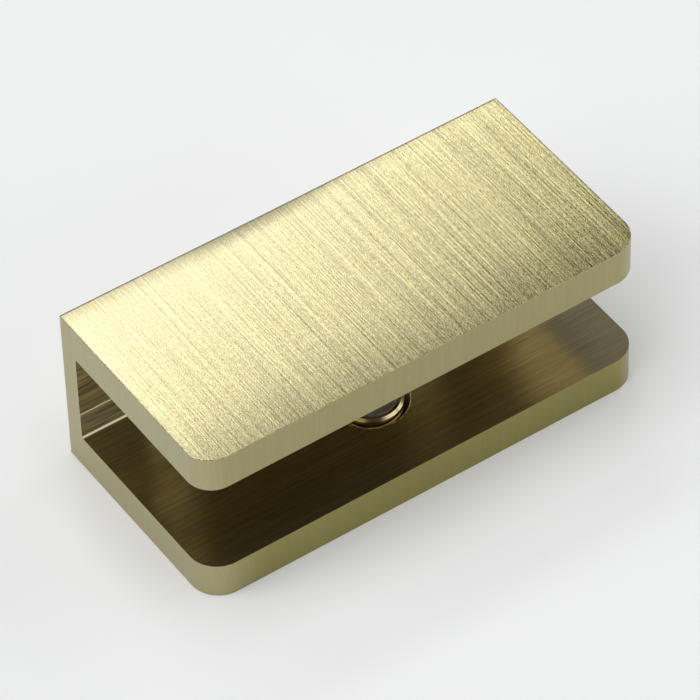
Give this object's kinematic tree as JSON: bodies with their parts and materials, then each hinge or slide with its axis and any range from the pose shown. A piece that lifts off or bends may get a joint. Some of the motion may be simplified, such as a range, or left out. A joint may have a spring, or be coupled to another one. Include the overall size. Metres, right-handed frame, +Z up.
{
  "type": "u bracket",
  "caption": "Brass U-shaped panel clamp bracket with rounded front corners, countersunk wall holes and a grub screw with a plastic pad that clamps a glass or board edge in its slot.",
  "frame": {"origin": "under the middle of the lower jaw's base, at the centre of the bracket's footprint", "axes": "+X along the channel, +Y towards the wall that the web is fixed to, +Z up; the slot opens to -Y"},
  "size_m": [0.045, 0.0216, 0.0169],
  "materials": {
    "brushed_brass": "brushed",
    "screw_brass": "turned",
    "grey_plastic": "matte"
  },
  "bodies": {
    "bracket": {"u_channel": "brushed_brass"},
    "pad": {"screw_tip": "grey_plastic"},
    "screw": {"clamp_screw": "screw_brass"}
  },
  "joints": [
    {"name": "screw_travel", "type": "slide", "parent": "bracket", "child": "pad", "axis": [0, 0, 1], "range_m": [-0.0004, 0.0012]},
    {"name": "screw_turn", "type": "hinge", "parent": "pad", "child": "screw", "pos_m": [0, -0.002, 0.00365], "axis": [0, 0, 1], "range_deg": [-145, 433]}
  ],
  "couplings": [
    {"joint": "screw_turn", "follows": "screw_travel", "rad_per_m": 6283.2}
  ]
}
